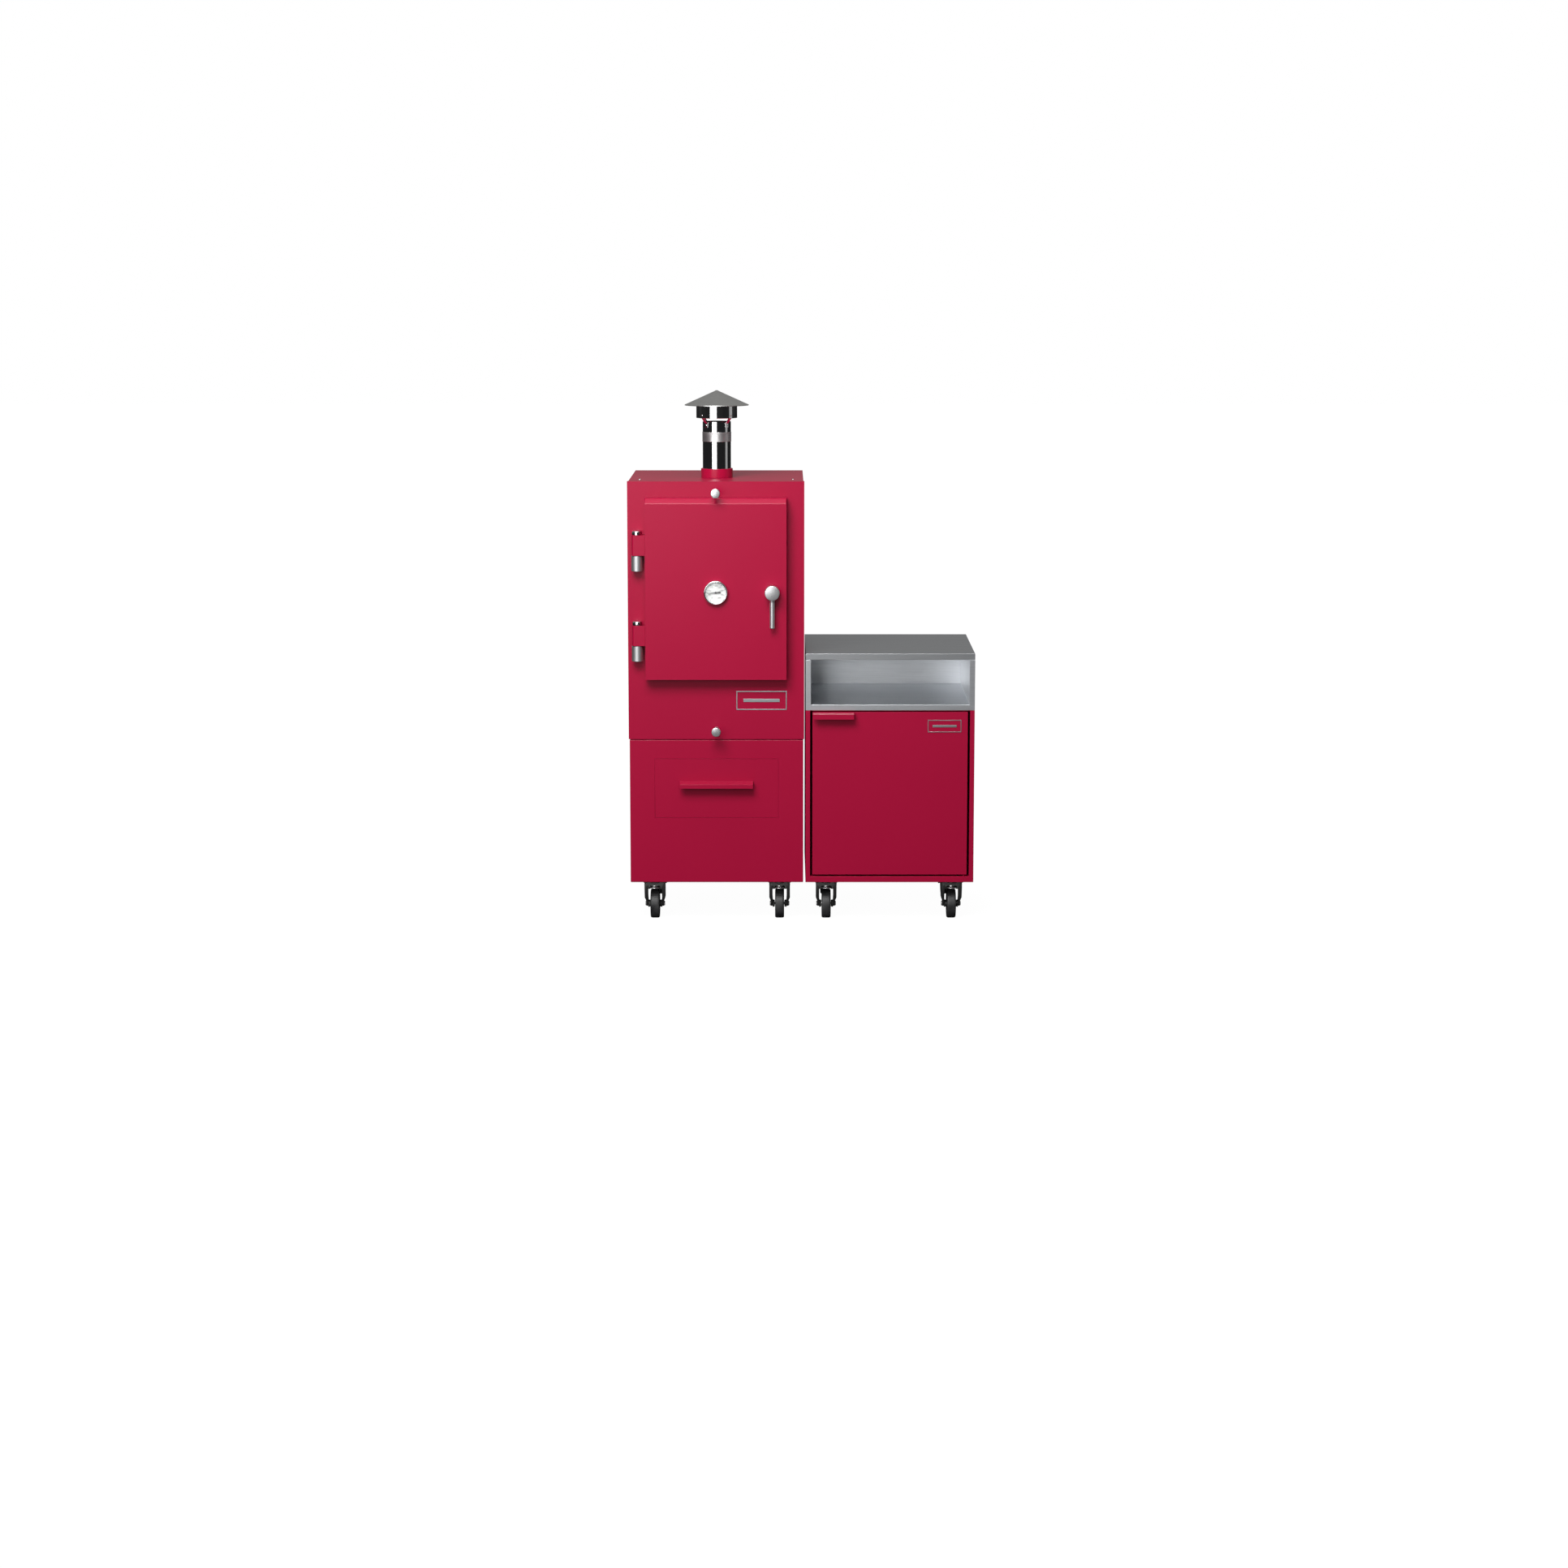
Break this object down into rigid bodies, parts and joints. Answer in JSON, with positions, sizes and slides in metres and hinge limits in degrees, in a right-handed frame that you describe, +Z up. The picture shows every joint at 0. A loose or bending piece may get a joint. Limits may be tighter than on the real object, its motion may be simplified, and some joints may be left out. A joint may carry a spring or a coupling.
{
  "type": "charcoal oven and smoker with side cabinet",
  "caption": "Upright charcoal oven and smoker on a drawer base with a chimney, beside a low cabinet with an open shelf and worktop, all on casters.",
  "frame": {"origin": "on the floor, at the middle of the whole object's footprint", "axes": "+Z up, the front faces -Y, the side cabinet is on +X"},
  "size_m": [1.195, 0.69, 1.835],
  "materials": {
    "crimson_paint": "smooth gloss powder coat, crimson red",
    "brushed_steel": "satin stainless steel with a fine grain",
    "polished_steel": "polished stainless steel",
    "chrome": "bright plating",
    "liner_steel": "plain stainless steel, a little heat-toned",
    "cast_iron": "rough black",
    "tyre_rubber": "smooth black rubber, satin",
    "rope_seal": "woven glass-fibre rope, dark grey",
    "mineral_wool": "matt insulation board",
    "dial_white": "matt white enamel",
    "needle_black": "matt black",
    "dial_glass": "clear flat glass"
  },
  "bodies": {
    "stand": {"oven_front_panel": "crimson_paint", "oven_casing": "crimson_paint", "base_casing": "crimson_paint", "flue_collar": "crimson_paint", "cabinet_carcass": "crimson_paint", "hinge_block_upper": "brushed_steel", "hinge_block_lower": "brushed_steel", "door_keeper": "brushed_steel", "drawer_runner_left": "brushed_steel", "drawer_runner_right": "brushed_steel", "grill_rack_lower": "brushed_steel", "grill_rack_upper": "brushed_steel", "flue_band": "brushed_steel", "cowl_cone": "brushed_steel", "cabinet_niche": "brushed_steel", "cabinet_worktop": "brushed_steel", "flue_pipe": "polished_steel", "cowl_skirt": "polished_steel", "hinge_pin_upper": "chrome", "hinge_pin_lower": "chrome", "oven_liner": "liner_steel", "charcoal_grate": "cast_iron", "oven_insulation": "mineral_wool"},
    "oven_door": {"door_shell": "crimson_paint", "door_inner_panel": "liner_steel", "door_seal": "rope_seal", "door_knuckle_upper": "crimson_paint", "door_knuckle_lower": "crimson_paint", "thermometer_case": "polished_steel", "thermometer_dial": "dial_white", "thermometer_lens": "dial_glass"},
    "needle": {"thermometer_needle": "needle_black"},
    "latch": {"latch_hub": "brushed_steel", "latch_lever": "brushed_steel", "latch_tongue": "brushed_steel"},
    "top_vent": {"top_vent_knob": "polished_steel", "flue_damper": "brushed_steel"},
    "bottom_vent": {"bottom_vent_knob": "polished_steel", "air_damper": "brushed_steel"},
    "drawer": {"drawer_front": "crimson_paint", "drawer_box": "brushed_steel", "drawer_handle": "crimson_paint"},
    "cabinet_door": {"cabinet_door": "crimson_paint", "cabinet_handle": "crimson_paint"},
    "oven_fork_front_left": {"oven_fork_front_left": "chrome"},
    "oven_wheel_front_left": {"oven_wheel_front_left": "tyre_rubber"},
    "oven_fork_front_right": {"oven_fork_front_right": "chrome"},
    "oven_wheel_front_right": {"oven_wheel_front_right": "tyre_rubber"},
    "oven_fork_rear_left": {"oven_fork_rear_left": "chrome"},
    "oven_wheel_rear_left": {"oven_wheel_rear_left": "tyre_rubber"},
    "oven_fork_rear_right": {"oven_fork_rear_right": "chrome"},
    "oven_wheel_rear_right": {"oven_wheel_rear_right": "tyre_rubber"},
    "cabinet_fork_front_left": {"cabinet_fork_front_left": "chrome"},
    "cabinet_wheel_front_left": {"cabinet_wheel_front_left": "tyre_rubber"},
    "cabinet_fork_front_right": {"cabinet_fork_front_right": "chrome"},
    "cabinet_wheel_front_right": {"cabinet_wheel_front_right": "tyre_rubber"},
    "cabinet_fork_rear_left": {"cabinet_fork_rear_left": "chrome"},
    "cabinet_wheel_rear_left": {"cabinet_wheel_rear_left": "tyre_rubber"},
    "cabinet_fork_rear_right": {"cabinet_fork_rear_right": "chrome"},
    "cabinet_wheel_rear_right": {"cabinet_wheel_rear_right": "tyre_rubber"}
  },
  "joints": [
    {"name": "oven_door_hinge", "type": "hinge", "parent": "stand", "child": "oven_door", "pos_m": [-0.564, -0.2775, 1.158], "axis": [0, 0, -1], "range_deg": [0, 115]},
    {"name": "latch_turn", "type": "hinge", "parent": "oven_door", "child": "latch", "pos_m": [-0.1015, -0.323, 1.159], "axis": [0, -1, 0], "range_deg": [0, 90]},
    {"name": "needle_turn", "type": "hinge", "parent": "oven_door", "child": "needle", "pos_m": [-0.2945, -0.306, 1.158], "axis": [0, 1, 0], "range_deg": [0, 240]},
    {"name": "top_vent_slide", "type": "slide", "parent": "stand", "child": "top_vent", "axis": [0, -1, 0], "range_m": [0, 0.105]},
    {"name": "bottom_vent_slide", "type": "slide", "parent": "stand", "child": "bottom_vent", "axis": [0, -1, 0], "range_m": [0, 0.085]},
    {"name": "drawer_slide", "type": "slide", "parent": "stand", "child": "drawer", "axis": [0, -1, 0], "range_m": [0, 0.45]},
    {"name": "cabinet_door_hinge", "type": "hinge", "parent": "stand", "child": "cabinet_door", "pos_m": [0.5635, -0.245, 0.455], "axis": [0, 0, 1], "range_deg": [0, 110]},
    {"name": "oven_swivel_front_left", "type": "hinge", "parent": "stand", "child": "oven_fork_front_left", "pos_m": [-0.5125, -0.195, 0.13], "axis": [0, 0, 1], "continuous": true},
    {"name": "oven_spin_front_left", "type": "hinge", "parent": "oven_fork_front_left", "child": "oven_wheel_front_left", "pos_m": [-0.5125, -0.167, 0.051], "axis": [1, 0, 0], "continuous": true},
    {"name": "oven_swivel_front_right", "type": "hinge", "parent": "stand", "child": "oven_fork_front_right", "pos_m": [-0.0765, -0.195, 0.13], "axis": [0, 0, 1], "continuous": true},
    {"name": "oven_spin_front_right", "type": "hinge", "parent": "oven_fork_front_right", "child": "oven_wheel_front_right", "pos_m": [-0.0765, -0.167, 0.051], "axis": [1, 0, 0], "continuous": true},
    {"name": "oven_swivel_rear_left", "type": "hinge", "parent": "stand", "child": "oven_fork_rear_left", "pos_m": [-0.5125, 0.25, 0.13], "axis": [0, 0, 1], "continuous": true},
    {"name": "oven_spin_rear_left", "type": "hinge", "parent": "oven_fork_rear_left", "child": "oven_wheel_rear_left", "pos_m": [-0.5125, 0.278, 0.051], "axis": [1, 0, 0], "continuous": true},
    {"name": "oven_swivel_rear_right", "type": "hinge", "parent": "stand", "child": "oven_fork_rear_right", "pos_m": [-0.0765, 0.25, 0.13], "axis": [0, 0, 1], "continuous": true},
    {"name": "oven_spin_rear_right", "type": "hinge", "parent": "oven_fork_rear_right", "child": "oven_wheel_rear_right", "pos_m": [-0.0765, 0.278, 0.051], "axis": [1, 0, 0], "continuous": true},
    {"name": "cabinet_swivel_front_left", "type": "hinge", "parent": "stand", "child": "cabinet_fork_front_left", "pos_m": [0.0865, -0.195, 0.13], "axis": [0, 0, 1], "continuous": true},
    {"name": "cabinet_spin_front_left", "type": "hinge", "parent": "cabinet_fork_front_left", "child": "cabinet_wheel_front_left", "pos_m": [0.0865, -0.167, 0.051], "axis": [1, 0, 0], "continuous": true},
    {"name": "cabinet_swivel_front_right", "type": "hinge", "parent": "stand", "child": "cabinet_fork_front_right", "pos_m": [0.5245, -0.195, 0.13], "axis": [0, 0, 1], "continuous": true},
    {"name": "cabinet_spin_front_right", "type": "hinge", "parent": "cabinet_fork_front_right", "child": "cabinet_wheel_front_right", "pos_m": [0.5245, -0.167, 0.051], "axis": [1, 0, 0], "continuous": true},
    {"name": "cabinet_swivel_rear_left", "type": "hinge", "parent": "stand", "child": "cabinet_fork_rear_left", "pos_m": [0.0865, 0.25, 0.13], "axis": [0, 0, 1], "continuous": true},
    {"name": "cabinet_spin_rear_left", "type": "hinge", "parent": "cabinet_fork_rear_left", "child": "cabinet_wheel_rear_left", "pos_m": [0.0865, 0.278, 0.051], "axis": [1, 0, 0], "continuous": true},
    {"name": "cabinet_swivel_rear_right", "type": "hinge", "parent": "stand", "child": "cabinet_fork_rear_right", "pos_m": [0.5245, 0.25, 0.13], "axis": [0, 0, 1], "continuous": true},
    {"name": "cabinet_spin_rear_right", "type": "hinge", "parent": "cabinet_fork_rear_right", "child": "cabinet_wheel_rear_right", "pos_m": [0.5245, 0.278, 0.051], "axis": [1, 0, 0], "continuous": true}
  ]
}
